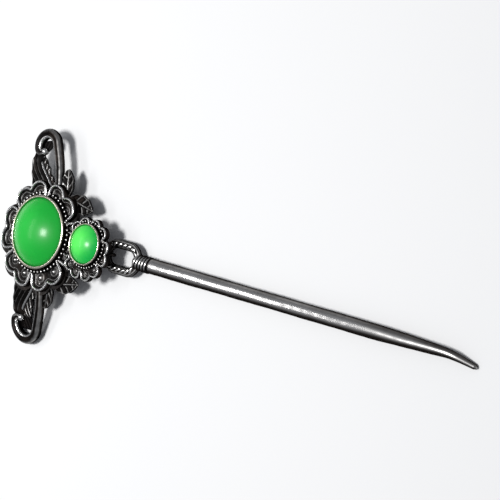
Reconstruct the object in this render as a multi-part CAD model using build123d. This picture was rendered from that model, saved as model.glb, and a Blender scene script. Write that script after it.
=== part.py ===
"""Decorative hair pin: a jewelled head on a jump link, and a forged stick that hangs from it by an eye.

The pin lies face up on a flat surface. +X runs along the stick to its tip, +Y to the upper scroll, and
+Z out of the stones. It is drawn about the large flower's centre line and moved at the end, so that
the origin is the bottom centre of the whole pin.
"""
from build123d import *
import math
import os

# Driving dimensions, in millimetres
# Stones: two round cabochons in plain bezels
LARGE_STONE_D = 18.0
SMALL_STONE_D = 10.0
LARGE_BEZEL_WALL = 0.6
SMALL_BEZEL_WALL = 0.3
BEZEL_GAP = 0.05
BEZEL_HEIGHT = 1.7
FOIL_THICK = 0.2
BEZEL_FLOOR = 0.4
LARGE_STONE_HEIGHT = 4.3
SMALL_STONE_HEIGHT = 2.7
GIRDLE_HEIGHT = 0.5
BEAD_GAP = 0.15
LARGE_BEAD_R = 0.52
SMALL_BEAD_R = 0.42
LARGE_STONE_Y = 0.9
SMALL_STONE_Y = 1.2

# Flowers: six petals of two lobes each, so twelve lobes on a ring
PETALS = 6
LOBE_SPLIT = 13.5
LARGE_RING_R = 10.9
LARGE_LOBE_R = 3.6
SMALL_RING_R = 6.2
SMALL_LOBE_R = 2.0
SMALL_FLOWER_X = 17.5
SHEET_THICK = 0.6
RIM_HEIGHT = 1.5
RIM_WIDTH = 0.7

# Back plate: its rear face stands clear of the link, so the head rests on its lower scroll
PLATE_Z = 4.4
PLATE_THICK = 1.0
PLATE_RECESS = 0.2
PLATE_MARGIN = 0.6
PLATE_SHIFT = -0.4
PLATE_INSET = 1.5

# Scrolls and leaves: drawn flat. The lower ones then droop about a line beside the large flower
DROOP_Y = 12.5
STEM_R = 1.5
STEM_X = 2.5
UPPER_CURL_R = 3.4
LOWER_CURL_R = 4.1
UPPER_CURL_Y = 24.4
LOWER_CURL_Y = 24.1
UPPER_LEAN = 18.0
LOWER_LEAN = 3.5
HOOK_R = 1.0
HOOK_WIRE_R = 0.85
HOOK_TURN = 110.0
BALL_R = 1.0
STEM_ROOT = 1.5
LEAF_THICK = 1.0
LEAF_LEFT_X = -7.0
LEAF_BULGE = 0.6
LEAF_BULGE_Y = 18.5
LEAF_TIP_X = -2.2
LEAF_TIP_DROP = 1.9
LEAF_WAIST_X = -0.5
LEAF_WAIST_Y = 18.8
LEAF_FOOT_X = 1.6
INNER_LEAF_FOOT = (5.8, 11.0)
INNER_LEAF_TIP = (4.3, 18.4)
INNER_LEAF_HALF_WIDTH = 2.1
OUTER_LEAF_FOOT = (6.8, 11.2)
OUTER_LEAF_TIP = (16.4, 9.6)
OUTER_LEAF_HALF_WIDTH = 2.6

# Link and lug: the wire parts that join the head to the stick
LINK_WIRE_R = 0.4
LINK_HALF_HEIGHT = 1.15
RUN_GAP = 0.15
LUG_BAR_R = 0.5
LUG_BAR_X = 19.5
LUG_LEG_Y = 1.25

# Stick: long eye, rope wire on its crest, collar of five wraps, shank and bent tip
EYE_RING_R = 3.2
EYE_LENGTHENING = 4.2
EYE_HALF_WIDTH = 1.25
EYE_HALF_HEIGHT = 0.85
EYE_Z = 2.2
ROPE_R = 0.5
ROPE_RISE = 0.65
COLLAR_TURNS = 5
COLLAR_WIRE_R = 0.5
COLLAR_LENGTH = 4.8
COLLAR_START = -0.2
SLEEVE_WALL = 0.3
WRAP_SINK = 0.2
NECK_R = 1.35
NECK_REACH = 0.6
SHANK_ROOT_R = 1.95
SHANK_MID_R = 1.8
SHANK_END_X = 106.0
TIP_BEND_X = 125.0
TIP_BEND_R = 1.05
TIP_R = 0.55
TIP_LENGTH = 6.5
TIP_TURN = 14.0

# Worked-out places
SHEET_Z = PLATE_Z + PLATE_THICK
CUP_Z = SHEET_Z + SHEET_THICK
STONE_Z = CUP_Z + BEZEL_FLOOR + FOIL_THICK
LARGE_CUP_R = LARGE_STONE_D / 2 + BEZEL_GAP + LARGE_BEZEL_WALL
SMALL_CUP_R = SMALL_STONE_D / 2 + BEZEL_GAP + SMALL_BEZEL_WALL
LARGE_SEAT_R = LARGE_CUP_R + 2 * BEAD_GAP + 2 * LARGE_BEAD_R
SMALL_SEAT_R = SMALL_CUP_R + 2 * BEAD_GAP + 2 * SMALL_BEAD_R
STEM_Z = PLATE_Z + PLATE_THICK / 2
LEAN_SINE = math.sin(math.radians(LOWER_LEAN))
LEAN_COSINE = math.cos(math.radians(LOWER_LEAN))
SCROLL_REACH = (LOWER_CURL_Y - DROOP_Y) * LEAN_COSINE - LOWER_CURL_R * LEAN_SINE + LOWER_CURL_R
DROOP = math.degrees(math.asin((STEM_Z - STEM_R) / SCROLL_REACH))
LINK_Z = EYE_Z + (ROPE_RISE + ROPE_R - EYE_HALF_HEIGHT) / 2
LINK_LEFT_X = LUG_BAR_X - LUG_BAR_R - RUN_GAP + LINK_HALF_HEIGHT
EYE_X = LUG_BAR_X + LUG_BAR_R + RUN_GAP + EYE_HALF_WIDTH + EYE_RING_R
LINK_RIGHT_X = EYE_X - EYE_RING_R + EYE_HALF_WIDTH + RUN_GAP - LINK_HALF_HEIGHT
COLLAR_X = EYE_X + EYE_LENGTHENING + EYE_RING_R + COLLAR_START
SHANK_X = COLLAR_X + COLLAR_LENGTH


def lobed(ring_r, lobe_r):
    """Flat outline of a flower: a disc with two round lobes for each petal."""
    outline = Circle(ring_r)
    for petal in range(PETALS):
        for side in (-1, 1):
            angle = math.radians(petal * 360 / PETALS + side * LOBE_SPLIT)
            outline += Pos(ring_r * math.cos(angle), ring_r * math.sin(angle)) * Circle(lobe_r)
    return outline


def disc(x, y, z, radius, height):
    """Upright cylinder standing on height z."""
    return Pos(x, y, z + height / 2) * Cylinder(radius, height)


def flower_sheet(outline, inner):
    """Stamped flower: a thin sheet with a raised rim along its outline."""
    return extrude(outline, SHEET_THICK) + extrude(outline - inner, RIM_HEIGHT)


def bezel_cup(x, y, stone_d, outer_r):
    """Cup with a floor, which holds a stone by its wall."""
    inner_r = stone_d / 2 + BEZEL_GAP
    cup = disc(x, y, CUP_Z, outer_r, BEZEL_HEIGHT)
    return cup - disc(x, y, CUP_Z + BEZEL_FLOOR, inner_r, BEZEL_HEIGHT)


def cabochon(x, y, stone_d, height):
    """Stone with a flat back, a straight girdle and a round dome."""
    radius = stone_d / 2
    rise = height - GIRDLE_HEIGHT
    dome_r = (radius ** 2 + rise ** 2) / (2 * rise)
    ball = Pos(x, y, STONE_Z + height - dome_r) * Sphere(dome_r)
    return disc(x, y, STONE_Z, radius, height) & ball


def bead_ring(x, y, ring_r, bead_r):
    """Plain ring of the beaded wire's outer size, lying on the flower sheet."""
    return Pos(x, y, CUP_Z + bead_r) * Torus(ring_r, bead_r)


def pointed_leaf(base, tip, half_width):
    """Flat leaf between two points: two arcs that bulge by half_width, made thick."""
    middle = ((base[0] + tip[0]) / 2, (base[1] + tip[1]) / 2)
    length = math.dist(base, tip)
    across = (-(tip[1] - base[1]) / length * half_width, (tip[0] - base[0]) / length * half_width)
    left = ThreePointArc(base, (middle[0] + across[0], middle[1] + across[1]), tip)
    right = ThreePointArc(tip, (middle[0] - across[0], middle[1] - across[1]), base)
    return Pos(0, 0, STEM_Z - LEAF_THICK / 2) * extrude(make_face([left, right]), LEAF_THICK)


def lean(shape, angle):
    """Turn a flat piece about the foot of the stem, so that the scroll leans away from the stick."""
    foot = Pos(STEM_X, DROOP_Y, 0)
    return foot * Rot(0, 0, angle) * foot.inverse() * shape


def droop(shape):
    """Bend a flat piece down about a line along X beside the flower, so that its far end meets z = 0."""
    line = Pos(0, DROOP_Y, STEM_Z)
    return line * Rot(-DROOP, 0, 0) * line.inverse() * shape


def wire_along(path, radius):
    """Round wire whose centre line is a path."""
    return sweep(Plane(path @ 0, z_dir=path % 0) * Circle(radius), path)


def scroll_stem(curl_y, curl_r):
    """Round stem that rises, turns over in a half circle and ends in a small hook with a ball."""
    top_x = STEM_X - curl_r
    rise = Line((STEM_X, DROOP_Y - STEM_ROOT), (STEM_X, curl_y))
    over = CenterArc((top_x, curl_y), curl_r, 0, 180)
    hook = CenterArc((top_x - curl_r + HOOK_R, curl_y), HOOK_R, 180, HOOK_TURN)
    end = hook @ 1
    stem = wire_along(Wire([rise, over]), STEM_R) + wire_along(Wire([hook]), HOOK_WIRE_R)
    ball = Pos(end.X + BALL_R / 2, end.Y, 0) * Sphere(BALL_R)
    return Pos(0, 0, STEM_Z) * (stem + ball)


def scroll_leaf(curl_y):
    """Broad leaf that fills the left flank of the scroll."""
    foot_left = (LEAF_LEFT_X, DROOP_Y)
    foot_right = (LEAF_FOOT_X, DROOP_Y)
    shoulder = (LEAF_LEFT_X + LEAF_BULGE, curl_y)
    tip = (LEAF_TIP_X, curl_y - LEAF_TIP_DROP)
    flank = ThreePointArc(foot_left, (LEAF_LEFT_X - LEAF_BULGE, LEAF_BULGE_Y), shoulder)
    top = Line(shoulder, tip)
    inner = ThreePointArc(tip, (LEAF_WAIST_X, LEAF_WAIST_Y), foot_right)
    foot = Line(foot_right, foot_left)
    leaf = extrude(make_face([flank, top, inner, foot]), LEAF_THICK)
    return Pos(0, 0, STEM_Z - LEAF_THICK / 2) * leaf


def hanger_lug():
    """Wire staple behind the small flower: a bar along Y on two legs that rise to the plate."""
    bar = Pos(LUG_BAR_X, 0, LINK_Z) * Rot(90, 0, 0) * Cylinder(LUG_BAR_R, 2 * LUG_LEG_Y)
    leg_top = PLATE_Z + PLATE_RECESS
    legs = Part()
    for side in (-1, 1):
        legs += disc(LUG_BAR_X, side * LUG_LEG_Y, LINK_Z, LUG_BAR_R, leg_top - LINK_Z)
        legs += Pos(LUG_BAR_X, side * LUG_LEG_Y, LINK_Z) * Sphere(LUG_BAR_R)
    return bar + legs


def link_ring():
    """Long link in the upright XZ plane, round the lug's bar and the eye's near side."""
    ring_r = LINK_HALF_HEIGHT + LINK_WIRE_R
    low = Line((LINK_LEFT_X, LINK_Z - ring_r), (LINK_RIGHT_X, LINK_Z - ring_r))
    right = CenterArc((LINK_RIGHT_X, LINK_Z), ring_r, -90, 180)
    high = Line((LINK_RIGHT_X, LINK_Z + ring_r), (LINK_LEFT_X, LINK_Z + ring_r))
    left = CenterArc((LINK_LEFT_X, LINK_Z), ring_r, 90, 180)
    return wire_along(Plane.XZ * Wire([low, right, high, left]), LINK_WIRE_R)


def around_eye(profile, height):
    """Closed bar along the eye's centre line, which is two half circles joined by straights."""
    far_x = EYE_X + EYE_LENGTHENING
    near = CenterArc((EYE_X, 0), EYE_RING_R, 90, 180)
    low = Line((EYE_X, -EYE_RING_R), (far_x, -EYE_RING_R))
    far = CenterArc((far_x, 0), EYE_RING_R, -90, 180)
    high = Line((far_x, EYE_RING_R), (EYE_X, EYE_RING_R))
    path = Pos(0, 0, height) * Wire([near, low, far, high])
    return sweep(Plane(path @ 0, x_dir=(0, 0, 1), z_dir=path % 0) * profile, path)


def pin_collar():
    """Five wraps of wire on a thin sleeve that covers the neck of the stick."""
    sleeve = Rot(0, 90, 0) * Cylinder(NECK_R + SLEEVE_WALL, COLLAR_LENGTH)
    collar = Pos(COLLAR_X + COLLAR_LENGTH / 2, 0, EYE_Z) * sleeve
    pitch = COLLAR_LENGTH / COLLAR_TURNS
    for turn in range(COLLAR_TURNS):
        wrap = Rot(0, 90, 0) * Torus(NECK_R + COLLAR_WIRE_R - WRAP_SINK, COLLAR_WIRE_R)
        collar += Pos(COLLAR_X + (turn + 0.5) * pitch, 0, EYE_Z) * wrap
    return collar


def pin_shank():
    """Turned stick along X: neck, root, light waist and the start of the tip's taper, then a bent tip."""
    neck_x = COLLAR_X - NECK_REACH
    profile = Polyline(
        (neck_x, 0),
        (neck_x, NECK_R),
        (SHANK_X, NECK_R),
        (SHANK_X, SHANK_ROOT_R),
        ((SHANK_X + SHANK_END_X) / 2, SHANK_MID_R),
        (SHANK_END_X, SHANK_MID_R),
        (TIP_BEND_X, TIP_BEND_R),
        (TIP_BEND_X, 0),
        close=True,
    )
    straight = revolve(make_face(profile), Axis.X)
    joint = Pos(TIP_BEND_X, 0, 0) * Sphere(TIP_BEND_R)
    length = TIP_LENGTH - TIP_R
    cone = Pos(length / 2, 0, 0) * Rot(0, 90, 0) * Cone(TIP_BEND_R, TIP_R, length)
    end = Pos(length, 0, 0) * Sphere(TIP_R)
    fall = math.degrees(math.asin((EYE_Z - TIP_R) / length))
    bent = Pos(TIP_BEND_X, 0, 0) * Rot(0, 0, -TIP_TURN) * Rot(0, fall, 0) * (cone + end)
    return Pos(0, 0, EYE_Z) * (straight + joint + bent)


def plate_outlines():
    """Outlines of the back plate behind the large flower and behind the small flower."""
    large = Pos(PLATE_SHIFT, PLATE_SHIFT) * lobed(LARGE_RING_R, LARGE_LOBE_R + PLATE_MARGIN)
    small = Pos(SMALL_FLOWER_X, 0) * lobed(SMALL_RING_R - PLATE_INSET, SMALL_LOBE_R)
    return large, small


def back_plate():
    """Flower-shaped plate behind the large flower, with a thinner, smaller one behind the small flower."""
    large, small = plate_outlines()
    thick = Pos(0, 0, PLATE_Z) * extrude(large, PLATE_THICK)
    thin = Pos(0, 0, PLATE_Z + PLATE_RECESS) * extrude(small, PLATE_THICK - PLATE_RECESS)
    return thick + thin


def plate_column():
    """Upright block of the plate's and the flowers' outlines: scrolls and leaves stop at its sides."""
    large, small = plate_outlines()
    return extrude(large + small + lobed(LARGE_RING_R, LARGE_LOBE_R), CUP_Z + RIM_HEIGHT)


def flowers():
    """The two flower sheets: the small one overlaps the large one's petal beside the stick."""
    large = lobed(LARGE_RING_R, LARGE_LOBE_R)
    large_inner = lobed(LARGE_RING_R, LARGE_LOBE_R - RIM_WIDTH)
    centre = Pos(SMALL_FLOWER_X, 0)
    small = centre * lobed(SMALL_RING_R, SMALL_LOBE_R)
    small_inner = centre * lobed(SMALL_RING_R, SMALL_LOBE_R - RIM_WIDTH)
    large_seat = Pos(0, LARGE_STONE_Y) * Circle(LARGE_SEAT_R)
    small_seat = Pos(SMALL_FLOWER_X, SMALL_STONE_Y) * Circle(SMALL_SEAT_R)
    small_only = small - large_seat
    up = Pos(0, 0, SHEET_Z)
    large_sheet = flower_sheet(large - small_only, large_inner + large_seat)
    small_sheet = flower_sheet(small_only, small_inner + small_seat)
    return up * large_sheet, up * small_sheet


def side_pieces(curl_y, curl_r, angle):
    """The flat scroll and leaves of one side, uncut, each to be fitted to the ones before it."""
    return {
        "scroll": lean(scroll_stem(curl_y, curl_r), angle),
        "scroll_leaf": lean(scroll_leaf(curl_y), angle),
        "inner_leaf": pointed_leaf(INNER_LEAF_FOOT, INNER_LEAF_TIP, INNER_LEAF_HALF_WIDTH),
        "outer_leaf": pointed_leaf(OUTER_LEAF_FOOT, OUTER_LEAF_TIP, OUTER_LEAF_HALF_WIDTH),
    }


def lower_side(pieces):
    """Pieces of the other side: drooped, apart from the leaf beside the two flowers, and mirrored."""
    drooped = {name: piece if name == "outer_leaf" else droop(piece) for name, piece in pieces.items()}
    return {name: mirror(piece, Plane.XZ) for name, piece in drooped.items()}


def head_nodes():
    """Every piece of the jewelled head, by name."""
    large_flower, small_flower = flowers()
    nodes = {
        "back_plate": back_plate(),
        "large_flower": large_flower,
        "small_flower": small_flower,
        "hanger_lug": hanger_lug(),
    }
    small_at = (SMALL_FLOWER_X, SMALL_STONE_Y)
    stones = (
        ("large", (0, LARGE_STONE_Y), LARGE_STONE_D, LARGE_STONE_HEIGHT, LARGE_CUP_R, LARGE_BEAD_R),
        ("small", small_at, SMALL_STONE_D, SMALL_STONE_HEIGHT, SMALL_CUP_R, SMALL_BEAD_R),
    )
    for size, (x, y), stone_d, height, cup_r, bead_r in stones:
        nodes[size + "_bezel_cup"] = bezel_cup(x, y, stone_d, cup_r)
        nodes[size + "_foil_disc"] = disc(x, y, CUP_Z + BEZEL_FLOOR, stone_d / 2, FOIL_THICK)
        nodes[size + "_cabochon"] = cabochon(x, y, stone_d, height)
        nodes[size + "_beaded_wire"] = bead_ring(x, y, cup_r + BEAD_GAP + bead_r, bead_r)
    column = plate_column()
    sides = {
        "upper": side_pieces(UPPER_CURL_Y, UPPER_CURL_R, UPPER_LEAN),
        "lower": lower_side(side_pieces(LOWER_CURL_Y, LOWER_CURL_R, LOWER_LEAN)),
    }
    for side, pieces in sides.items():
        taken = column
        for name, piece in pieces.items():
            nodes[side + "_" + name] = piece - taken
            taken = taken + piece
    return nodes


def stick_nodes():
    """The pieces of the stick, by name."""
    eye = around_eye(Ellipse(EYE_HALF_HEIGHT, EYE_HALF_WIDTH), EYE_Z)
    rope = around_eye(Circle(ROPE_R), EYE_Z + ROPE_RISE) - eye
    shank = pin_shank() - eye - rope
    collar = pin_collar() - eye - rope - shank
    return {
        "pin_eye": eye,
        "eye_rope_wire": rope,
        "pin_collar_coil": collar,
        "pin_shank": shank,
    }


nodes = {**head_nodes(), "link_ring": link_ring(), **stick_nodes()}
boxes = [piece.bounding_box() for piece in nodes.values()]
low_x = min(box.min.X for box in boxes)
high_x = max(box.max.X for box in boxes)
middle = Pos(-(low_x + high_x) / 2, 0, 0)
low_z = min(box.min.Z for box in boxes)
print("lowest point", round(low_z, 3))
print("pin from x", round(low_x, 3), "to", round(high_x, 3), "about the large flower's centre")
os.makedirs("parts", exist_ok=True)
for name, piece in nodes.items():
    placed = middle * piece
    placed.label = name
    export_step(placed, "parts/" + name + ".step")
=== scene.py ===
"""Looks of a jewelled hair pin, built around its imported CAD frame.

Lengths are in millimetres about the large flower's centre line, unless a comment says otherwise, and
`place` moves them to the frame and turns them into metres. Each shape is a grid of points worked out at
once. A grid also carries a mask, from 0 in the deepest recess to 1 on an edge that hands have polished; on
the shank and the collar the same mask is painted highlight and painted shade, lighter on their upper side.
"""

import math
from collections import namedtuple

import bpy
import numpy as np
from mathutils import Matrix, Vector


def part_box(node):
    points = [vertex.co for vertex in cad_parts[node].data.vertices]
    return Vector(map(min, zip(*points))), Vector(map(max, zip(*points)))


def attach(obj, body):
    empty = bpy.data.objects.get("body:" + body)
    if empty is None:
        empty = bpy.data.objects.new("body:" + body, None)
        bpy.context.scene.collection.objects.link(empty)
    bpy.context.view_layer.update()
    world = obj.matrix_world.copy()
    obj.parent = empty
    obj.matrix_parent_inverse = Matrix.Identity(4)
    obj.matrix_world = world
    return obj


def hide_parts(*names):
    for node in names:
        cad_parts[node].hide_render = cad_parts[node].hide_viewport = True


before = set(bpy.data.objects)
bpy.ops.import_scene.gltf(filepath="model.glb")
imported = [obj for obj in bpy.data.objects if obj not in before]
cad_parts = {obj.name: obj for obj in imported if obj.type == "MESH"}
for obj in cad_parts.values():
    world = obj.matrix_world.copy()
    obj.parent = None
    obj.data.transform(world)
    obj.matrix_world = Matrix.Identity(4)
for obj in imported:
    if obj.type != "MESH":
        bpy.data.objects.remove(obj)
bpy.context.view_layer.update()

MM = 0.001
HEAD_X = (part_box("large_bezel_cup")[0].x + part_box("large_bezel_cup")[1].x) / 2 / MM

# Heights of the head's layers
PLATE_Z = 4.4
STEM_Z = 4.9
SHEET_Z = 5.4
SHEET_TOP = 6.0
CUP_FLOOR_Z = 6.4
STONE_FOOT_Z = 6.6
BEZEL_TOP = 7.7

# Stones, their bezels and the beaded wires round them
Stone = namedtuple("Stone", "x y radius height wall bead_r beads")
LARGE_STONE = Stone(x=0.0, y=0.9, radius=9.0, height=4.3, wall=0.6, bead_r=0.52, beads=52)
SMALL_STONE = Stone(x=17.5, y=1.2, radius=5.0, height=2.7, wall=0.3, bead_r=0.42, beads=40)
GIRDLE = 0.5
STONE_CHAMFER = 0.05
BEZEL_GAP = 0.05
BEAD_GAP = 0.15

# Flowers: a ring of twelve lobes, two for each petal, with a cleft between petals and a raised rim
Flower = namedtuple("Flower", "x ring_r lobe_r cleft rim")
LARGE_FLOWER = Flower(x=0.0, ring_r=10.9, lobe_r=3.6, cleft=1.9, rim=0.46)
SMALL_FLOWER = Flower(x=17.5, ring_r=6.2, lobe_r=2.0, cleft=0.8, rim=0.36)
PETALS = 6
LOBE_SPLIT = 13.5
LOBE_ANGLES = np.radians([360 / PETALS * petal + split for petal in range(PETALS)
                          for split in (-LOBE_SPLIT, LOBE_SPLIT)])
PETAL_CLEFTS = np.radians([360 / PETALS * (petal + 0.5) for petal in range(PETALS)])
CLEFT_WIDTH = math.radians(2.3)
FLOWER_OVERLAP = 0.05
BEAD_CLEARANCE_R = 10.95

# Scrolls: the upper one lies flat, and the lower one bends down until its end rests at z = 0
Side = namedtuple("Side", "name curl_y curl_r lean")
UPPER = Side(name="upper", curl_y=24.4, curl_r=3.4, lean=math.radians(18.0))
LOWER = Side(name="lower", curl_y=24.1, curl_r=4.1, lean=math.radians(3.5))
DROOP_Y = 12.5
STEM_X = 2.5
STEM_R = 1.5
STEM_ROOT = 1.0
STEM_BOW = 0.5
HOOK_R = 1.0
HOOK_TURN = math.radians(110.0)
BALL_R = 1.0

# Leaves: foot, tip, half width and veins on each side of the midrib
Leaf = namedtuple("Leaf", "foot tip half_width veins")
INNER_LEAF = Leaf(foot=(5.8, 11.0), tip=(4.3, 18.4), half_width=2.1, veins=3)
OUTER_LEAF = Leaf(foot=(6.8, 11.2), tip=(15.6, 9.5), half_width=2.5, veins=4)
LEAF_CEILING = 0.75
ACANTHUS_CEILING = 0.85
ACANTHUS_LEFT_X = -7.0
ACANTHUS_BULGE = 0.6
ACANTHUS_BULGE_Y = 18.5
ACANTHUS_FOOT_X = 1.5

# Stick: a long eye with twisted wire on its crest, a collar of wraps, and a shank with a bent tip
EYE_X = 24.6
EYE_Z = 2.2
EYE_RING_R = 3.2
EYE_LENGTHENING = 4.2
EYE_HALF_WIDTH = 1.25
EYE_HALF_HEIGHT = 0.85
ROPE_STRANDS = 2
ROPE_TWISTS = 9
ROPE_WIRE_R = 0.3
COLLAR_X = 31.8
COLLAR_WRAPS = 5
COLLAR_WIRE_R = 0.42
SHANK_X = 36.6
NECK_R = 1.35
BEND_X = 125.0
BEND_SOFTNESS = 0.9
TIP_END_X = 131.09
TIP_ROUND = 0.65
TIP_FALL = 0.288
TIP_ASIDE = math.tan(math.radians(14))
SHANK_STATIONS = (SHANK_X, 44, 70, 106, 114, 120, 125, 128, TIP_END_X - 0.6)
SHANK_RADII = (1.93, 1.93, 1.80, 1.76, 1.50, 1.27, 1.02, 0.78, 0.60)

# Finishes, as linear colours
BLACK_TARNISH = (0.012, 0.011, 0.011, 1)
# The shank's dark colour: tarnish, and painted shade on its flanks.
SHANK_TARNISH_AND_SHADE = (0.035, 0.030, 0.028, 1)
BEZEL_TARNISH = (0.02, 0.017, 0.015, 1)
BROWN_STAIN = (0.034, 0.027, 0.024, 1)
PALE_SILVER = (0.88, 0.87, 0.85, 1)
SHANK_SILVER = (0.90, 0.88, 0.86, 1)
DULL_SILVER = (0.30, 0.28, 0.27, 1)
WARM_SILVER = (0.95, 0.88, 0.74, 1)
FOIL_COLOUR = (0.75, 0.85, 0.70, 1)
FLOOR_COLOUR = (0.97, 0.97, 0.97, 1)
ROOM_COLOUR = (0.9, 0.93, 1.0, 1)
SILVER_ROUGHNESS = 0.45
WORN_POLISH = 0.26

# Stage, in metres, degrees and watts. Softboxes: name, place, target, sides, power
FLOOR_HALF = 3.0
ROOM_STRENGTH = 0.22
SOFTBOXES = (
    ("overhead_softbox", (-0.06, 0.0, 0.60), (-0.03, 0.0, 0.0), (0.14, 0.14), 2.8),
    ("head_softbox", (-0.45, 0.0, 0.53), (0.0, 0.0, 0.0), (0.40, 0.34), 2.0),
    ("far_softbox", (-0.15, 0.55, 0.35), (0.0, 0.0, 0.0), (0.30, 0.30), 0.9),
)
CAMERA_PLACE = (0.24005, 0.0348, 0.2864)
CAMERA_TURN = (5.882, 38.997, 15.36)
CAMERA_LENS = 113.65


# Arrays and meshes


def place(points):
    """Move points from the flower's centre line to the frame, and turn millimetres into metres."""
    return (points + np.array([HEAD_X, 0.0, 0.0])) * MM


def grid_faces(rows, columns, wrap_rows, wrap_columns):
    """Four-cornered faces between neighbouring points of a grid, across the seams as well if it wraps."""
    row = np.arange(rows if wrap_rows else rows - 1)[:, None]
    column = np.arange(columns if wrap_columns else columns - 1)[None, :]
    next_row = (row + 1) % rows
    next_column = (column + 1) % columns
    corners = [row * columns + column, next_row * columns + column,
               next_row * columns + next_column, row * columns + next_column]
    return np.stack([np.broadcast_to(corner, (row.size, column.size)).ravel() for corner in corners], 1)


def signed_volume(points, faces):
    """Six times the volume inside the faces, which is negative if they point inwards."""
    total = 0.0
    for second, third in ((1, 2), (2, 3)):
        a, b, c = points[faces[:, 0]], points[faces[:, second]], points[faces[:, third]]
        total += np.einsum("ij,ij->i", a, np.cross(b, c)).sum()
    return total


class Shell:
    """A closed skin: a grid of points with its mask of wear and painted sheen. Its columns wrap; its rows
    wrap or are capped.
    """

    def __init__(self, points, wear_and_sheen, wrap_rows=True):
        rows, columns = points.shape[:2]
        self.points = points.reshape(-1, 3)
        self.wear_and_sheen = np.broadcast_to(wear_and_sheen, (rows, columns)).ravel()
        self.faces = grid_faces(rows, columns, wrap_rows, wrap_columns=True)
        if not wrap_rows:
            self.close_end(np.arange(columns), flip=False)
            self.close_end(np.arange(columns) + (rows - 1) * columns, flip=True)
        if signed_volume(self.points, self.faces) < 0:
            self.faces = self.faces[:, ::-1]

    def close_end(self, ring, flip):
        """Fan of faces from the middle of an open end to its ring. A fan's face repeats its middle point."""
        middle = len(self.points)
        self.points = np.vstack([self.points, self.points[ring].mean(0)])
        self.wear_and_sheen = np.append(self.wear_and_sheen, self.wear_and_sheen[ring].mean())
        following = np.roll(ring, -1)
        hub = np.full(len(ring), middle)
        fan = np.stack([hub, following, ring, hub] if flip else [hub, ring, following, hub], 1)
        self.faces = np.vstack([self.faces, fan])


def make_piece(name, shells, body, material, stands_for):
    """One smooth object from closed skins, with its mask of wear and painted sheen as an attribute, riding on
    a body.
    """
    starts = np.cumsum([0] + [len(shell.points) for shell in shells])
    points = place(np.vstack([shell.points for shell in shells]))
    faces = np.vstack([shell.faces + start for shell, start in zip(shells, starts)])
    wear_and_sheen = np.concatenate([shell.wear_and_sheen for shell in shells])
    corners = [face[:3] if face[0] == face[3] else face for face in faces.tolist()]
    mesh = bpy.data.meshes.new(name)
    mesh.from_pydata(points.tolist(), [], corners)
    mesh.attributes.new("wear_and_sheen", "FLOAT", "POINT").data.foreach_set("value", wear_and_sheen.astype(np.float32))
    mesh.polygons.foreach_set("use_smooth", np.ones(len(mesh.polygons), bool))
    mesh.update()
    mesh.materials.append(material)
    piece = bpy.data.objects.new(name, mesh)
    bpy.context.scene.collection.objects.link(piece)
    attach(piece, body)
    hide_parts(*stands_for)


def bell(distance, width):
    """Smooth bump of height 1 at distance 0."""
    return np.exp(-((distance / width) ** 2))


def step(value, low, high):
    """Smooth rise from 0 at low to 1 at high."""
    t = np.clip((value - low) / (high - low), 0, 1)
    return t * t * (3 - 2 * t)


def wave(value):
    """Smooth ripple from 1 at a whole number to 0 half way between two."""
    return 0.5 + 0.5 * np.cos(2 * np.pi * value)


def turn_from(angle, middle):
    """Angle from a middle, wrapped to half a turn either way."""
    return np.angle(np.exp(1j * (angle - middle)))


def full_turn(count):
    """Evenly spaced angles once round."""
    return np.linspace(0, 2 * np.pi, count, endpoint=False)


def round_section(count):
    """Unit circle as its across and along parts."""
    angle = full_turn(count)[None, :]
    return np.cos(angle), np.sin(angle)


def revolved(profile, centre_x, centre_y, wear_and_sheen, around=144):
    """Skin of revolution: a profile of (radius, z) turned about an upright axis, closed at both ends."""
    profile = np.array(profile, float)
    angle = full_turn(around)
    radius = np.maximum(profile[:, 0], 1e-4)[:, None]
    height = np.broadcast_to(profile[:, 1][:, None], (len(profile), around))
    points = np.stack([centre_x + radius * np.cos(angle), centre_y + radius * np.sin(angle), height], -1)
    return Shell(points, np.array(wear_and_sheen, float).reshape(-1, 1), wrap_rows=False)


def ball(radius, middle, rows, columns):
    """Points of a sphere by tilt and turn, with the sine of each point's tilt."""
    tilt = np.linspace(-np.pi / 2, np.pi / 2, rows)[:, None]
    turn = full_turn(columns)[None, :]
    up = np.sin(tilt) + 0 * turn
    return middle + radius * np.stack([np.cos(tilt) * np.cos(turn), np.cos(tilt) * np.sin(turn), up], -1), up


def tube(path, radius, section, up=(0, 0, 1), wear_and_sheen=0.5, closed=False):
    """A section carried along a path: point = path + radius * section(angle), in the path's own frame."""
    if closed:
        ahead = (np.roll(path, -1, 0) - np.roll(path, 1, 0)) / 2
    else:
        ahead = np.gradient(path, axis=0)
    ahead /= np.linalg.norm(ahead, axis=1, keepdims=True)
    side = np.cross(np.broadcast_to(np.array(up, float), ahead.shape), ahead)
    side /= np.linalg.norm(side, axis=1, keepdims=True)
    over = np.cross(ahead, side)
    across, along = section
    offset = side[:, None] * across[..., None] + over[:, None] * along[..., None]
    points = path[:, None] + np.reshape(radius, (-1, 1, 1)) * offset
    return Shell(points, wear_and_sheen, wrap_rows=closed)


# Stones and their settings


def cabochon_shell(stone):
    """Flat back, upright girdle with a soft shoulder, then a part of a sphere."""
    rise = stone.height - GIRDLE
    dome_r = (stone.radius ** 2 + rise ** 2) / (2 * rise)
    reach = np.linspace(0.995 * stone.radius, 0, 56)
    dome = STONE_FOOT_Z + stone.height - dome_r + np.sqrt(dome_r ** 2 - reach ** 2)
    profile = [(0, STONE_FOOT_Z), (stone.radius - STONE_CHAMFER, STONE_FOOT_Z),
               (stone.radius, STONE_FOOT_Z + STONE_CHAMFER),
               (stone.radius, STONE_FOOT_Z + GIRDLE - STONE_CHAMFER)]
    wear_and_sheen = [0.0] * len(profile) + list(1 - reach / stone.radius)
    return revolved(profile + list(zip(reach, dome)), stone.x, stone.y, wear_and_sheen, around=160)


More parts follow.
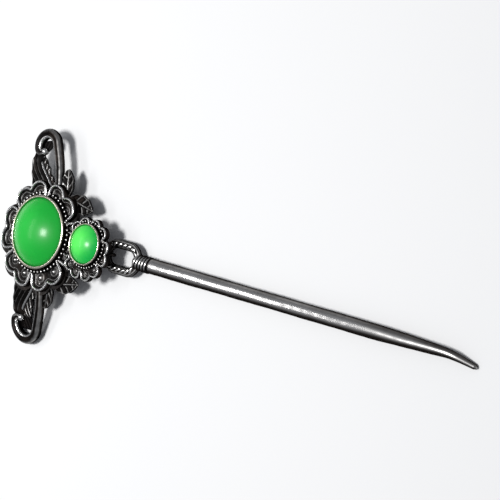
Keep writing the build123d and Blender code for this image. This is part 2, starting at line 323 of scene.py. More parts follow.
def bezel_shell(stone):
    """Cup whose wall leans in at its top over the stone's shoulder, as a burnisher leaves it."""
    inner = stone.radius + BEZEL_GAP
    outer = inner + stone.wall
    profile = [(0, CUP_FLOOR_Z), (inner, CUP_FLOOR_Z)]
    profile += [(inner, BEZEL_TOP - 0.6), (inner - 0.14, BEZEL_TOP - 0.35), (inner - 0.16, BEZEL_TOP - 0.2),
                (inner - 0.08, BEZEL_TOP - 0.07)]
    profile += [(inner + 0.05, BEZEL_TOP), (inner + 0.4 * stone.wall, BEZEL_TOP - 0.02),
                (inner + 0.75 * stone.wall, BEZEL_TOP - 0.12), (inner + 0.93 * stone.wall, BEZEL_TOP - 0.3)]
    profile += [(outer, BEZEL_TOP - 0.6), (outer, SHEET_TOP), (0, SHEET_TOP)]
    wear_and_sheen = [0, 0, 0.2, 0.6, 0.9, 1, 1, 1, 0.7, 0.2, 0, 0, 0]
    return revolved(profile, stone.x, stone.y, wear_and_sheen)


def beaded_shells(stone):
    """Row of round beads strung on a thin core wire, lying on the petals round the bezel."""
    ring_r = stone.radius + BEZEL_GAP + stone.wall + BEAD_GAP + stone.bead_r
    centre = np.array([stone.x, stone.y, SHEET_TOP + stone.bead_r])
    shells = []
    for angle in full_turn(stone.beads):
        middle = centre + ring_r * np.array([math.cos(angle), math.sin(angle), 0])
        points, up = ball(0.97 * stone.bead_r, middle, rows=7, columns=9)
        shells.append(Shell(points, 0.05 + 0.55 * step(up, 0.45, 1.0), wrap_rows=False))
    angle = full_turn(4 * stone.beads)
    core = centre + ring_r * np.stack([np.cos(angle), np.sin(angle), 0 * angle], -1)
    shells.append(tube(core, 0.3 * stone.bead_r, round_section(6), wear_and_sheen=0.0, closed=True))
    return shells


# Flowers


def lobe_centres(flower):
    """Centres of the twelve lobes of a flower."""
    across = flower.ring_r * np.cos(LOBE_ANGLES)
    return np.stack([flower.x + across, flower.ring_r * np.sin(LOBE_ANGLES)], -1)


def ray_to_circles(start, angle, centres, radius, far):
    """Length of each ray from start to where it last leaves the circles (far) or first enters them, and
    where it misses them, 0 or infinity."""
    direction = np.stack([np.cos(angle), np.sin(angle)], -1)
    gap = centres - np.array(start)
    along = np.einsum("ik,jk->ij", direction, gap)
    inside = radius ** 2 - ((gap ** 2).sum(-1)[None] - along ** 2)
    root = np.sqrt(np.maximum(inside, 0))
    if far:
        return np.where(inside > 0, along + root, 0).max(1)
    return np.where((inside > 0) & (along > root), along - root, np.inf).min(1)


def flower_edge(flower, angle):
    """Distance from the flower's centre to its scalloped edge: the lobes' far sides, with clefts cut in."""
    edge = ray_to_circles((flower.x, 0), angle, lobe_centres(flower), flower.lobe_r, far=True)
    from_cleft = turn_from(angle[:, None], PETAL_CLEFTS[None])
    return np.maximum(edge, 0.95 * flower.ring_r) - flower.cleft * bell(from_cleft, CLEFT_WIDTH).sum(1)


def nearest(x, y, outline):
    """Distance from each place to the nearest point of an outline, one ring of the grid at a time."""
    rings = [np.hypot(x[:, ring, None] - outline[None, :, 0], y[:, ring, None] - outline[None, :, 1]).min(1)
             for ring in range(x.shape[1])]
    return np.stack(rings, 1)


def flower_shell(flower, stone, limit, count=900):
    """Stamped petals. Height over the sheet = a rim ridge near the edge + a fine second line inside it
    + a drop with a ring round it in each lobe, all of the distance to the edge or to the lobe's centre."""
    angle = full_turn(count)
    own_edge = flower_edge(flower, angle)
    outline = np.stack([flower.x + own_edge * np.cos(angle), own_edge * np.sin(angle)], -1)
    under_cup = stone.radius + 0.3
    edge = np.clip(np.minimum(own_edge, limit(angle)), under_cup + 0.2, None)
    reach = under_cup + (edge[:, None] - under_cup) * np.sin(np.linspace(0, np.pi / 2, 46))
    x = flower.x + reach * np.cos(angle)[:, None]
    y = reach * np.sin(angle)[:, None]

    rim = flower.rim
    scale = flower.lobe_r / LARGE_FLOWER.lobe_r
    to_edge = nearest(x, y, outline)
    centres = lobe_centres(flower)
    to_lobe = np.hypot(x[..., None] - centres[:, 0], y[..., None] - centres[:, 1]).min(-1)
    ridge = np.sqrt(np.clip(1 - ((to_edge - rim) / rim) ** 2, 0, 1))
    second_line = bell(to_edge - 2 * rim - 0.5 * scale, 0.2 * scale)
    drop = bell(to_lobe, 0.62 * scale)
    drop_ring = bell(to_lobe - 1.15 * scale, 0.2 * scale)
    height = 0.9 * ridge + 0.28 * second_line + 0.5 * drop + 0.12 * drop_ring
    top = np.stack([x, y, SHEET_TOP - 0.05 + np.clip(height, 0, 0.95)], -1)
    wear_and_sheen = np.clip(0.16 + 1.3 * ridge ** 4 + 0.24 * second_line + 0.5 * drop ** 2 + 0.16 * drop_ring, 0, 1)
    wear_and_sheen = np.where(to_edge < 0.35 * rim, 0.35 * wear_and_sheen, wear_and_sheen)

    underside = []
    for share, z in ((1.0, SHEET_Z + 0.3), (1.0, SHEET_Z), (0.5, SHEET_Z), (0.0, SHEET_Z)):
        ring = under_cup + (edge - under_cup) * share
        underside.append(np.stack([flower.x + ring * np.cos(angle), ring * np.sin(angle), 0 * angle + z], -1))
    worn_under = np.tile((0.15, 0.1, 0.0, 0.0), (count, 1))
    return Shell(np.concatenate([top, np.stack(underside, 1)], 1), np.concatenate([wear_and_sheen, worn_under], 1))


def large_limit(angle):
    """The large flower stops where the small flower lies over it."""
    return ray_to_circles((0, 0), angle, lobe_centres(SMALL_FLOWER), SMALL_FLOWER.lobe_r + FLOWER_OVERLAP,
                          far=False)


def small_limit(angle):
    """The small flower stops at the ring of beads round the large stone."""
    seat = np.array([[LARGE_STONE.x, LARGE_STONE.y]])
    return ray_to_circles((SMALL_FLOWER.x, 0), angle, seat, BEAD_CLEARANCE_R, far=False)


# Scrolls and leaves


def lean(points, side):
    """Turn about the foot of the stem, away from the stick."""
    x, y = points[..., 0] - STEM_X, points[..., 1] - DROOP_Y
    out = points.copy()
    out[..., 0] = STEM_X + x * math.cos(side.lean) - y * math.sin(side.lean)
    out[..., 1] = DROOP_Y + x * math.sin(side.lean) + y * math.cos(side.lean)
    return out


def droop(points):
    """Bend down about a line along X beside the flower, so that the lower scroll's end rests at z = 0."""
    stem_reach = (LOWER.curl_y - DROOP_Y) * math.cos(LOWER.lean)
    reach = stem_reach - LOWER.curl_r * math.sin(LOWER.lean) + LOWER.curl_r
    fall = math.asin((STEM_Z - STEM_R) / reach)
    y, z = points[..., 1] - DROOP_Y, points[..., 2] - STEM_Z
    out = points.copy()
    out[..., 1] = DROOP_Y + y * math.cos(fall) + z * math.sin(fall)
    out[..., 2] = STEM_Z - y * math.sin(fall) + z * math.cos(fall)
    return out


def on_side(shell, side, drooping=True):
    """The same skin above the stones, or bent down and mirrored below them."""
    if side is LOWER:
        points = droop(shell.points) if drooping else shell.points
        shell.points = points * np.array([1, -1, 1])
        shell.faces = shell.faces[:, ::-1]
    return shell


def scroll_path(side):
    """Up the slightly bowed stem, over in a half circle and round the hook."""
    curl_y, curl_r = side.curl_y, side.curl_r
    rise = np.linspace(DROOP_Y - STEM_ROOT, curl_y, 60)[:-1]
    over = np.linspace(0, np.pi, 90)[:-1]
    hook = np.linspace(np.pi, np.pi + HOOK_TURN, 34)
    top_x = STEM_X - curl_r
    hook_x = top_x - curl_r + HOOK_R
    bow = STEM_BOW * np.sin(np.pi * (rise - DROOP_Y) / (curl_y - DROOP_Y)) * step(rise, DROOP_Y, DROOP_Y + 2)
    x = np.concatenate([STEM_X + bow, top_x + curl_r * np.cos(over), hook_x + HOOK_R * np.cos(hook)])
    y = np.concatenate([rise, curl_y + curl_r * np.sin(over), curl_y + HOOK_R * np.sin(hook)])
    return np.stack([x, y, 0 * x + STEM_Z], -1)


def scroll_shells(side):
    """Stem with a polished bead along its inner edge and a groove beside it, ending in a ball."""
    path = scroll_path(side)
    share = np.linspace(0, 1, len(path))
    radius = np.interp(share, [0, 0.2, 0.5, 0.75, 0.86, 0.93, 1], [1.2, 1.35, 1.5, 1.5, 1.35, 1.0, 0.75])
    angle = full_turn(48)
    inner = turn_from(angle, math.radians(45))
    groove = turn_from(angle, math.radians(82))
    outer = turn_from(angle, math.radians(135))
    swell = 0.86 + 0.14 * bell(inner, 0.34) - 0.15 * bell(groove, 0.22) + 0.13 * bell(outer, 0.7)
    wear_and_sheen = 0.05 + 0.95 * bell(inner, 0.30) - 0.2 * bell(groove, 0.3) + 0.38 * bell(outer, 0.45)
    section = ((swell * np.cos(angle))[None], (swell * np.sin(angle))[None])
    stem = tube(path, radius, section, wear_and_sheen=np.clip(wear_and_sheen, 0, 1)[None])
    points, up = ball(BALL_R, path[-1] + np.array([0.5 * BALL_R, 0, 0]), rows=15, columns=24)
    shells = [stem, Shell(points, 0.3 + 0.7 * step(up, 0.0, 0.7), wrap_rows=False)]
    for shell in shells:
        shell.points = lean(shell.points, side)
    return [on_side(shell, side) for shell in shells]


def slab(x, y, rise, wear_and_sheen, low, base):
    """Closed thin piece from a grid of places: its top is base + rise, its underside lies flat at low."""
    top = np.stack([x, y, base + rise], -1)
    bottom = np.stack([x, y, 0 * x + low], -1)[:, ::-1]
    worn_under = 0 * wear_and_sheen
    return Shell(np.concatenate([top, bottom], 1), np.concatenate([wear_and_sheen, worn_under], 1), wrap_rows=False)


def pointed_leaf(leaf):
    """Leaf from foot to tip. Half width = a circle's arc; height = cupped blade + midrib + slanted veins."""
    foot, tip = np.array(leaf.foot), np.array(leaf.tip)
    length = np.linalg.norm(tip - foot)
    ahead = (tip - foot) / length
    across = np.array([-ahead[1], ahead[0]])
    s = np.linspace(0.0, 1.0, 90)[:, None]
    t = np.linspace(-1, 1, 41)[None, :]
    arc_r = (length ** 2 / 4 + leaf.half_width ** 2) / (2 * leaf.half_width)
    width = np.sqrt(arc_r ** 2 - (length * (s - 0.5)) ** 2) - (arc_r - leaf.half_width)
    scallop = 1 - 0.10 * (1 - wave(leaf.veins * (s + 0.02))) * step(s, 0.1, 0.3)
    from_rib = t * np.maximum(width * scallop, 0.02)
    x = foot[0] + s * length * ahead[0] + from_rib * across[0]
    y = foot[1] + s * length * ahead[1] + from_rib * across[1]
    midrib = bell(from_rib, 0.24) * step(s, 0, 0.08) * (1 - 0.7 * s)
    vein = wave(leaf.veins * (s - 0.84 * np.abs(from_rib) / length)) ** 2
    vein = vein * step(np.abs(t), 0.08, 0.25) * step(1 - np.abs(t), 0.0, 0.15)
    edge = bell(1 - np.abs(t), 0.14)
    rise = 0.05 + 0.45 * midrib + 0.22 * vein + 0.22 * edge + 0.175 * t ** 2
    rise = rise * step(np.minimum(s, 1 - s) + 0 * t, 0, 0.04)
    wear_and_sheen = np.clip(0.85 * midrib + 0.42 * vein ** 2 + 0.35 * edge, 0, 1)
    return slab(x, y, np.minimum(rise, LEAF_CEILING), wear_and_sheen, PLATE_Z, STEM_Z - 0.15)


def acanthus_edges(side, v):
    """The leaf's left and right edges from its foot at v = 0: the left one bulges, and the right one leaves
    an opening beside the upper stem but closes the lower one. Small lobes are cut into the right one."""
    low_y = DROOP_Y - 1.2
    y_left = low_y + v * (side.curl_y + 2.0 - low_y)
    bulge = 1 - ((y_left - ACANTHUS_BULGE_Y) / 6.1) ** 2
    x_left = ACANTHUS_LEFT_X - ACANTHUS_BULGE * bulge + 1.5 * step(y_left, 20.5, side.curl_y + 1.5)
    y_right = low_y + v * (side.curl_y + 1.6 - low_y)
    if side is UPPER:
        opening = 2.3 * step(y_right, 12.5, 19) + 1.6 * step(y_right, 18.5, 22.5)
        opening = opening - 2.4 * step(y_right, 22.5, 24.2)
    else:
        opening = 1.5 * step(y_right, 12.5, 19)
    lobes = 0.35 * (1 - wave(6 * v)) * step(v, 0.2, 0.35) * step(0.9 - v, 0, 0.1)
    return x_left, y_left, ACANTHUS_FOOT_X - opening - lobes, y_right


def acanthus_shell(side):
    """Leaf between its outer flank and the scroll, which it also backs inside the curl. Height = flutes that
    run up the leaf + a thick midrib + loops of veins on its inner half."""
    v = np.linspace(0, 1, 130)[:, None]
    u = np.linspace(0, 1, 71)[None, :]
    x_left, y_left, x_right, y_right = acanthus_edges(side, v)
    x = x_left + (x_right - x_left) * u
    y = y_left + (y_right - y_left) * u
    from_rib = x - (-0.2 - 3.4 * step(y, 12.5, 21.5))
    midrib = bell(from_rib, 0.46) * step(y, 11.5, 12.5) * (1 - step(y, 20.4, 21.6))
    flutes = wave((from_rib + 0.55) / 1.45) * step(-from_rib, 0.7, 1.2)
    loops = wave(0.62 * y - 0.75 * np.abs(from_rib)) ** 2 * step(from_rib, 0.5, 0.9)
    edge = bell((1 - u) * (x_right - x_left), 0.25) + 0.6 * bell(u * (x_right - x_left), 0.35)
    in_curl = step(y, side.curl_y - 2.5, side.curl_y - 1.0)
    rise = (0.1 + 0.6 * midrib + 0.22 * flutes + 0.35 * loops + 0.15 * edge) * (1 - 0.8 * in_curl)
    rise = rise * step(np.minimum(v, 1 - v) + 0 * u, 0, 0.03)
    wear_and_sheen = np.clip(midrib ** 2 + 0.26 * flutes ** 2 + 0.5 * loops ** 2 + 0.2 * edge, 0, 1) * (1 - in_curl)
    shell = slab(x, y, np.minimum(rise, ACANTHUS_CEILING), wear_and_sheen, STEM_Z - 0.5, STEM_Z - 0.25)
    shell.points = lean(shell.points, side)
    return on_side(shell, side)


# Stick


def eye_line(count):
    """Evenly spaced places along the eye's centre line, which is two half circles joined by straights:
    each place's share of the way round, its x and y, and the outward direction there."""
    turn = np.linspace(np.pi / 2, 3 * np.pi / 2, 200)
    near_x, near_y = EYE_X + EYE_RING_R * np.cos(turn), EYE_RING_R * np.sin(turn)
    far_x, far_y = EYE_X + EYE_LENGTHENING - EYE_RING_R * np.cos(turn), -EYE_RING_R * np.sin(turn)
    x = np.concatenate([near_x, far_x, near_x[:1]])
    y = np.concatenate([near_y, far_y, near_y[:1]])
    length = np.concatenate([[0], np.cumsum(np.hypot(np.diff(x), np.diff(y)))])
    along = np.linspace(0, length[-1], count, endpoint=False)
    x, y = np.interp(along, length, x), np.interp(along, length, y)
    ahead_x, ahead_y = np.roll(x, -1) - np.roll(x, 1), np.roll(y, -1) - np.roll(y, 1)
    size = np.hypot(ahead_x, ahead_y)
    return along / length[-1], x, y, ahead_y / size, -ahead_x / size


def eye_shell():
    """Flat-sided long ring: an ellipse carried along the eye's line, with two lines raised on its crest."""
    _, x, y, _, _ = eye_line(220)
    turn = full_turn(64)
    from_crest = np.abs(turn_from(turn, np.pi / 2))
    line = bell(from_crest - 0.62, 0.12)
    second_line = bell(from_crest - 1.0, 0.12)
    swell = 0.96 + 0.07 * line + 0.04 * second_line - 0.05 * bell(from_crest, 0.35)
    section = ((EYE_HALF_WIDTH * swell * np.cos(turn))[None], (EYE_HALF_HEIGHT * swell * np.sin(turn))[None])
    wear_and_sheen = np.clip(0.12 + 0.55 * line + 0.3 * second_line, 0, 1)
    return tube(np.stack([x, y, 0 * x + EYE_Z], -1), np.ones(len(x)), section, wear_and_sheen=wear_and_sheen[None], closed=True)


def rope_shells():
    """Wires twisted about each other along the eye's crest: a small circle turned along a long ring."""
    share, x, y, out_x, out_y = eye_line(900)
    shells = []
    for strand in range(ROPE_STRANDS):
        twist = 2 * np.pi * (ROPE_TWISTS * share + strand / ROPE_STRANDS)
        offset = 0.27 * np.cos(twist) - 0.12
        height = EYE_Z + 0.63 + 0.2 * np.sin(twist)
        path = np.stack([x + offset * out_x, y + offset * out_y, height], -1)
        wear_and_sheen = 0.12 + 0.88 * step(np.sin(twist), -0.3, 0.7)[:, None]
        shells.append(tube(path, np.full(len(path), ROPE_WIRE_R), round_section(12), wear_and_sheen=wear_and_sheen, closed=True))
    return shells


def collar_shells():
    """Sleeve with slanted wraps of wire: each wrap is a ring whose x also goes forward with its y. Each
    wire's outward crest is rubbed bright, but only under a painted highlight along the upper side of the
    collar; the rest is painted shade."""
    turn = full_turn(72)
    sleeve_x = np.array([COLLAR_X, COLLAR_X + 0.05, SHANK_X - 0.05, SHANK_X])
    sleeve_r = np.array([1.3, 1.45, 1.45, 1.3])[:, None]
    sleeve = np.stack([np.broadcast_to(sleeve_x[:, None], (4, 72)), sleeve_r * np.cos(turn),
                       EYE_Z + sleeve_r * np.sin(turn)], -1)
    shells = [Shell(sleeve, 0.0, wrap_rows=False)]
    # Painted highlight on the upper side of the collar, painted shade round the rest; the wires' outward
    # crests are wear.
    painted_top_highlight = bell(turn_from(turn, math.radians(80)), 0.8)[:, None]
    on_crest = bell(full_turn(16) - np.pi, 0.7)[None]
    for wrap in range(COLLAR_WRAPS):
        middle = COLLAR_X + 0.5 + 0.95 * wrap
        slant = 0.55 * np.cos(turn) * (1 - 0.12 * wrap)
        ring_r = 1.68 + 0.03 * np.sin(2.3 * wrap)
        path = np.stack([middle + slant, ring_r * np.cos(turn), EYE_Z + ring_r * np.sin(turn)], -1)
        shells.append(tube(path, np.full(72, COLLAR_WIRE_R), round_section(16), up=(1, 0, 0),
                           wear_and_sheen=painted_top_highlight * on_crest, closed=True))
    return shells


def shank_radius(x):
    """Radius smoothed between set stations, with a slow forged unevenness, a thin neck inside the collar and
    a rounded end, where it falls as a square root."""
    fine = np.linspace(SHANK_X, TIP_END_X, 600)
    rough = np.pad(np.interp(fine, SHANK_STATIONS, SHANK_RADII), 18, mode="edge")
    radius = np.interp(x, fine, np.convolve(rough, np.ones(37) / 37, "valid"))
    radius *= 1 + 0.006 * np.sin(0.9 * x) + 0.004 * np.sin(2.3 * x + 1)
    radius = np.where(x < SHANK_X - 0.02, NECK_R, radius)
    in_end = x - (TIP_END_X - TIP_ROUND)
    end = np.sqrt(np.clip(1 - in_end / (TIP_ROUND + 0.01), 0, 1))
    return radius * np.where(in_end > 0, np.maximum(end, 0.02), 1)


def shank_shell():
    """Round stick. Past the bend its centre line turns down and aside as w * log(1 + exp((x - bend) / w)).
    Its colour is painted highlight and painted shade: brightest along its upper crest, a fainter painted
    light on its flank toward +y, shade round the rest, and the highlight dimmer towards its tip."""
    end = TIP_END_X - TIP_ROUND * (1 - np.sin(np.linspace(0, 1.57, 12)))
    x = np.concatenate([
        np.linspace(COLLAR_X - 0.6, SHANK_X - 0.06, 12), np.linspace(SHANK_X - 0.03, 110, 170),
        np.linspace(110.4, TIP_END_X - TIP_ROUND - 0.05, 90), end])
    past = BEND_SOFTNESS * np.log1p(np.exp((x - BEND_X) / BEND_SOFTNESS))
    path = np.stack([x, -TIP_ASIDE * past, EYE_Z - TIP_FALL * past], -1)
    turn = full_turn(64)
    flat = 1 + 0.012 * np.cos(3 * turn + 0.4)[None] * np.sin(0.35 * x)[:, None]
    # Painted highlight along the upper crest and fainter painted light on the flank toward +y; the rest of
    # the round is painted shade, and the painted highlight dims towards the tip.
    crest = bell(turn_from(turn, math.radians(84)), 0.55)
    flank = bell(turn_from(turn, math.radians(35)), 0.4)
    highlight_fading = 0.95 - 0.4 * step(x, 80, 128) + 0.05 * np.sin(0.4 * x)
    wear_and_sheen = highlight_fading[:, None] * (0.08 + 0.92 * crest + 0.25 * flank)
    return tube(path, shank_radius(x), (flat * np.cos(turn), flat * np.sin(turn)), wear_and_sheen=np.clip(wear_and_sheen, 0, 1))


# Materials


def new_group(name, inputs, outputs):
    """Node group with named sockets: each input is (kind, name, value), each output (kind, name)."""
    group = bpy.data.node_groups.new(name, "ShaderNodeTree")
    for kind, title, value in inputs:
        socket = group.interface.new_socket(title, in_out="INPUT", socket_type="NodeSocket" + kind)
        socket.default_value = value
    for kind, title in outputs:
        group.interface.new_socket(title, in_out="OUTPUT", socket_type="NodeSocket" + kind)
    return group, group.nodes.new("NodeGroupInput"), group.nodes.new("NodeGroupOutput")


def new_material(name, metallic=0.0):
    """Material with its node tree and shader."""
    material = bpy.data.materials.new(name)
    material.use_nodes = True
    shader = material.node_tree.nodes["Principled BSDF"]
    shader.inputs["Metallic"].default_value = metallic
    return material, material.node_tree, shader


def add_node(tree, kind, **values):
    """Node of a kind, with its properties or the sockets of those names set."""
    node = tree.nodes.new("ShaderNode" + kind)
    for key, value in values.items():
        title = key.replace("_", " ")
        if title in node.inputs:
            node.inputs[title].default_value = value
        else:
            setattr(node, key, value)
    return node


def feed(tree, socket, value):
    """Give a socket a value, or link another socket to it."""
    if isinstance(value, bpy.types.NodeSocket):
        tree.links.new(value, socket)
    else:
        socket.default_value = value


def math_node(tree, operation, *operands):
    """Arithmetic on values, each a number or a socket."""
    node = add_node(tree, "Math", operation=operation)
    for index, value in enumerate(operands):
        feed(tree, node.inputs[index], value)
    return node.outputs[0]


def mix_colour(tree, factor, first, second):
    """Blend of two colours, each a colour or a socket."""
    node = add_node(tree, "Mix", data_type="RGBA")
    for index, value in ((0, factor), (6, first), (7, second)):
        feed(tree, node.inputs[index], value)
    return node.outputs[2]


def smooth_range(tree, value, low, high):
    """Value mapped from low-high to 0-1 with a soft start and end."""
    node = add_node(tree, "MapRange", interpolation_type="SMOOTHSTEP")
    for index, number in enumerate((value, low, high)):
        feed(tree, node.inputs[index], number)
    return node.outputs[0]


def patina_and_sheen_group():
    """Patina: black in recesses and bright on rubbed edges, and from the same mask painted shade and painted
    highlight on the shank and the collar; with mottling, brown stains, fine grain and pits.
    """
    group, given, result = new_group(
        "aged_silver_patina_and_sheen",
        [("Float", "Wear_and_sheen", 0.5), ("Color", "Tarnish", BLACK_TARNISH), ("Color", "Silver", PALE_SILVER),
         ("Float", "Pitting", 0.3), ("Float", "Mottling", 0.5)],
        [("Color", "Colour"), ("Float", "Roughness"), ("Vector", "Normal")],
    )
    where = add_node(group, "TexCoord").outputs["Object"]
    clouds = add_node(group, "TexNoise", Scale=650.0, Detail=5.0, Roughness=0.6)
    grain = add_node(group, "TexNoise", Scale=4200.0, Detail=3.0, Roughness=0.6)
    stains = add_node(group, "TexNoise", Scale=210.0, Detail=3.0, Roughness=0.5)
    for noise in (clouds, grain, stains):
        group.links.new(where, noise.inputs["Vector"])
    cloudiness = math_node(group, "SUBTRACT", clouds.outputs["Fac"], 0.5)
    mottling = math_node(group, "MULTIPLY", cloudiness, given.outputs["Mottling"])
    amount = math_node(group, "ADD", given.outputs["Wear_and_sheen"], mottling)
    bright = smooth_range(group, amount, 0.12, 0.88)
    stained = smooth_range(group, stains.outputs["Fac"], 0.45, 0.75)
    tarnish = mix_colour(group, stained, given.outputs["Tarnish"], BROWN_STAIN)
    feed(group, result.inputs["Colour"], mix_colour(group, bright, tarnish, given.outputs["Silver"]))
    grainy = math_node(group, "MULTIPLY_ADD", grain.outputs["Fac"], 0.05, SILVER_ROUGHNESS)
    polish = math_node(group, "MULTIPLY", bright, -WORN_POLISH)
    feed(group, result.inputs["Roughness"], math_node(group, "ADD", grainy, polish))
    bump = add_node(group, "Bump", Distance=0.00012)
    feed(group, bump.inputs["Strength"], given.outputs["Pitting"])
    feed(group, bump.inputs["Height"], smooth_range(group, grain.outputs["Fac"], 0.35, 0.62))
    feed(group, result.inputs["Normal"], bump.outputs["Normal"])
    return group


def silver_material(name, group, tarnish, silver, pitting, mottling, wear_and_sheen=None):
    """Metal that takes its mask of wear and painted sheen from the piece's attribute, or one even value."""
    material, tree, shader = new_material(name, metallic=1.0)
    shader.inputs["Specular Tint"].default_value = (0.25, 0.25, 0.25, 1)
    patina_and_sheen_node = tree.nodes.new("ShaderNodeGroup")
    patina_and_sheen_node.node_tree = group
    if wear_and_sheen is None:
        wear_and_sheen = add_node(tree, "Attribute", attribute_name="wear_and_sheen").outputs["Fac"]
    values = {"Wear_and_sheen": wear_and_sheen, "Tarnish": tarnish, "Silver": silver, "Pitting": pitting, "Mottling": mottling}
    for title, value in values.items():
        feed(tree, patina_and_sheen_node.inputs[title], value)
    for output, title in (("Colour", "Base Color"), ("Roughness", "Roughness"), ("Normal", "Normal")):
        tree.links.new(patina_and_sheen_node.outputs[output], shader.inputs[title])
    return material


def stone_material(name, light, dark, rim, stone, painted_glow, roughness, coat):
    """Cloudy green stone, darker at its rim, with a painted glow: its colour is the light one at a place
    given in stone radii from its middle and shades to the dark one away from it."""
    material, tree, shader = new_material(name)
    finish = {
        "Roughness": roughness, "Coat Weight": coat, "Coat Roughness": 0.2, "IOR": 1.52,
        "Specular IOR Level": 0.25, "Subsurface Weight": 0.12, "Subsurface Radius": (0.3, 1.0, 0.4),
        "Subsurface Scale": 0.002,
    }
    for title, value in finish.items():
        shader.inputs[title].default_value = value
    centred = add_node(tree, "Mapping")
    centred.inputs["Location"].default_value = (
        -(HEAD_X + stone.x) / stone.radius, -stone.y / stone.radius, 0)
    centred.inputs["Scale"].default_value = (1 / (stone.radius * MM),) * 3
    tree.links.new(add_node(tree, "TexCoord").outputs["Object"], centred.inputs["Vector"])
    veil = add_node(tree, "TexNoise", Scale=1.6, Detail=4.0, Roughness=0.55, Distortion=0.6)
    tree.links.new(centred.outputs["Vector"], veil.inputs["Vector"])
    drift = math_node(tree, "MULTIPLY_ADD", veil.outputs["Fac"], 0.6, -0.3)
    # Painted glow: the colour is lightest at one place and painted shade grows away from it, drifted by the
    # cloudy veil.
    from_painted_glow = add_node(tree, "VectorMath", operation="DISTANCE")
    from_painted_glow.inputs[1].default_value = painted_glow
    tree.links.new(centred.outputs["Vector"], from_painted_glow.inputs[0])
    shade = smooth_range(tree, math_node(tree, "ADD", from_painted_glow.outputs["Value"], drift), 0.2, 1.3)
    from_rim = add_node(tree, "Attribute", attribute_name="wear_and_sheen").outputs["Fac"]
    at_rim = smooth_range(tree, from_rim, 0.10, 0.0)
    body = mix_colour(tree, shade, light, dark)
    feed(tree, shader.inputs["Base Color"], mix_colour(tree, at_rim, body, rim))
    return material


def foil_material():
    """Crinkled bright foil."""
    material, tree, shader = new_material("crinkled_foil", metallic=1.0)
    shader.inputs["Base Color"].default_value = FOIL_COLOUR
    shader.inputs["Roughness"].default_value = 0.3
    crinkle = add_node(tree, "TexVoronoi", Scale=900.0)
    tree.links.new(add_node(tree, "TexCoord").outputs["Object"], crinkle.inputs["Vector"])
    bump = add_node(tree, "Bump", Strength=0.4, Distance=0.0001)
    tree.links.new(crinkle.outputs["Distance"], bump.inputs["Height"])
    tree.links.new(bump.outputs["Normal"], shader.inputs["Normal"])
    return material


patina_and_sheen_nodes = patina_and_sheen_group()
ornament_silver = silver_material("ornament_silver", patina_and_sheen_nodes, BLACK_TARNISH, PALE_SILVER, 0.04, 0.4)
black_silver = silver_material(
    "blackened_silver", patina_and_sheen_nodes, BLACK_TARNISH, DULL_SILVER, 0.1, 0.3, wear_and_sheen=0.25)
# On the shank the bright crest is a painted highlight and the dark flanks are painted shade.
shank_silver_painted_sheen = silver_material("polished_shank_silver_painted_sheen", patina_and_sheen_nodes, SHANK_TARNISH_AND_SHADE, SHANK_SILVER, 0.0, 0.12)
bezel_silver = silver_material("burnished_bezel_silver", patina_and_sheen_nodes, BEZEL_TARNISH, WARM_SILVER, 0.0, 0.15)
# Each stone's light colour is its painted glow and its dark colour painted shade.
large_green = stone_material(
    "large_green_stone", light=(0.020, 0.58, 0.060, 1), dark=(0.006, 0.44, 0.040, 1),
    rim=(0.01, 0.25, 0.03, 1),
    stone=LARGE_STONE, painted_glow=(-0.6, 0.1, 10.1 / 9.0), roughness=0.45, coat=0.35)
small_green = stone_material(
    "small_green_stone", light=(0.13, 1.0, 0.14, 1), dark=(0.004, 0.52, 0.07, 1), rim=(0.004, 0.16, 0.02, 1),
    stone=SMALL_STONE, painted_glow=(-0.35, 0.15, 9.1 / 5.0), roughness=0.4, coat=0.4)
foil = foil_material()


# Pieces


def ornament(name, shells, body, stands_for):
    """A piece of the antiqued silver work."""
    make_piece(name, shells, body, ornament_silver, stands_for)


ornament("large_petals", [flower_shell(LARGE_FLOWER, LARGE_STONE, large_limit)], "head", ["large_flower"])
ornament("small_petals", [flower_shell(SMALL_FLOWER, SMALL_STONE, small_limit)], "head", ["small_flower"])
make_piece("large_stone", [cabochon_shell(LARGE_STONE)], "head", large_green,
           ["large_cabochon"])
make_piece("small_stone", [cabochon_shell(SMALL_STONE)], "head", small_green,
           ["small_cabochon"])
make_piece("large_bezel", [bezel_shell(LARGE_STONE)], "head", bezel_silver,
           ["large_bezel_cup"])
make_piece("small_bezel", [bezel_shell(SMALL_STONE)], "head", bezel_silver,
           ["small_bezel_cup"])
ornament("large_beads", beaded_shells(LARGE_STONE), "head", ["large_beaded_wire"])
ornament("small_beads", beaded_shells(SMALL_STONE), "head", ["small_beaded_wire"])
for side in (UPPER, LOWER):
    ornament(side.name + "_scroll_stem", scroll_shells(side), "head", [side.name + "_scroll"])
    ornament(side.name + "_acanthus_leaf", [acanthus_shell(side)], "head", [side.name + "_scroll_leaf"])
    stem_leaf = on_side(pointed_leaf(INNER_LEAF), side)
    ornament(side.name + "_stem_leaf", [stem_leaf], "head", [side.name + "_inner_leaf"])
    flower_leaf = on_side(pointed_leaf(OUTER_LEAF), side, drooping=False)
    ornament(side.name + "_flower_leaf", [flower_leaf], "head", [side.name + "_outer_leaf"])

ornament("eye_ring", [eye_shell()], "stick", ["pin_eye"])
ornament("eye_rope", rope_shells(), "stick", ["eye_rope_wire"])
ornament("collar_wraps", collar_shells(), "stick", ["pin_collar_coil"])
make_piece("forged_shank", [shank_shell()], "stick", shank_silver_painted_sheen, ["pin_shank"])

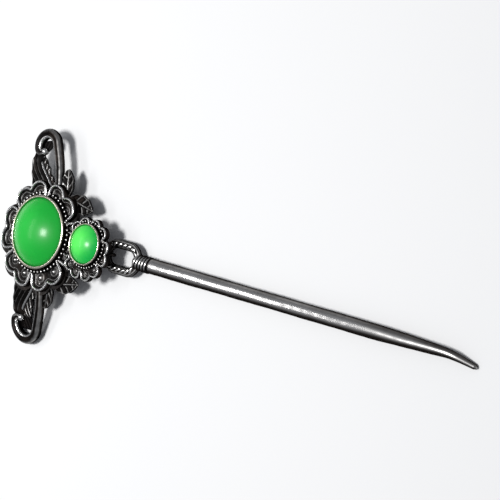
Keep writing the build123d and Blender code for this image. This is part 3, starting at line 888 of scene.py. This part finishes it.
# CAD nodes that are shown as they are
for node_name, material in (
        ("back_plate", black_silver), ("hanger_lug", black_silver), ("link_ring", black_silver),
        ("large_foil_disc", foil), ("small_foil_disc", foil)):
    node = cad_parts[node_name]
    node.data.materials.clear()
    node.data.materials.append(material)


# Stage


def add_floor():
    """Large pale sheet under the pin."""
    mesh = bpy.data.meshes.new("floor")
    corners = [(x * FLOOR_HALF, y * FLOOR_HALF, 0) for x, y in ((-1, -1), (1, -1), (1, 1), (-1, 1))]
    mesh.from_pydata(corners, [], [(0, 1, 2, 3)])
    material, _, shader = new_material("pale_floor")
    shader.inputs["Base Color"].default_value = FLOOR_COLOUR
    shader.inputs["Roughness"].default_value = 0.9
    shader.inputs["Specular IOR Level"].default_value = 0.1
    mesh.materials.append(material)
    floor = bpy.data.objects.new("floor", mesh)
    bpy.context.scene.collection.objects.link(floor)


def add_softbox(name, location, target, sides, watts):
    """Rectangular soft light at a place, turned to a target."""
    lamp = bpy.data.lights.new(name, "AREA")
    lamp.shape = "RECTANGLE"
    lamp.size, lamp.size_y = sides
    lamp.energy = watts
    light = bpy.data.objects.new(name, lamp)
    bpy.context.scene.collection.objects.link(light)
    light.location = location
    gap = np.array(target) - np.array(location)
    light.rotation_euler = (math.atan2(math.hypot(gap[0], gap[1]), -gap[2]), 0.0, math.atan2(gap[0], -gap[1]))


def add_room():
    """Even pale light from all round."""
    world = bpy.data.worlds.new("soft_room")
    world.use_nodes = True
    background = world.node_tree.nodes["Background"]
    background.inputs["Color"].default_value = ROOM_COLOUR
    background.inputs["Strength"].default_value = ROOM_STRENGTH
    bpy.context.scene.world = world
    bpy.context.scene.view_settings.view_transform = "Standard"


def add_camera():
    """Camera above and beyond the tip's side, looking down on the face of the stones."""
    data = bpy.data.cameras.new("camera")
    data.sensor_width = 36.0
    data.lens = CAMERA_LENS
    data.clip_start = 0.01
    camera = bpy.data.objects.new("camera", data)
    camera.location = CAMERA_PLACE
    camera.rotation_euler = [math.radians(degrees) for degrees in CAMERA_TURN]
    bpy.context.scene.collection.objects.link(camera)
    bpy.context.scene.camera = camera


add_floor()
for softbox in SOFTBOXES:
    add_softbox(*softbox)
add_room()
add_camera()
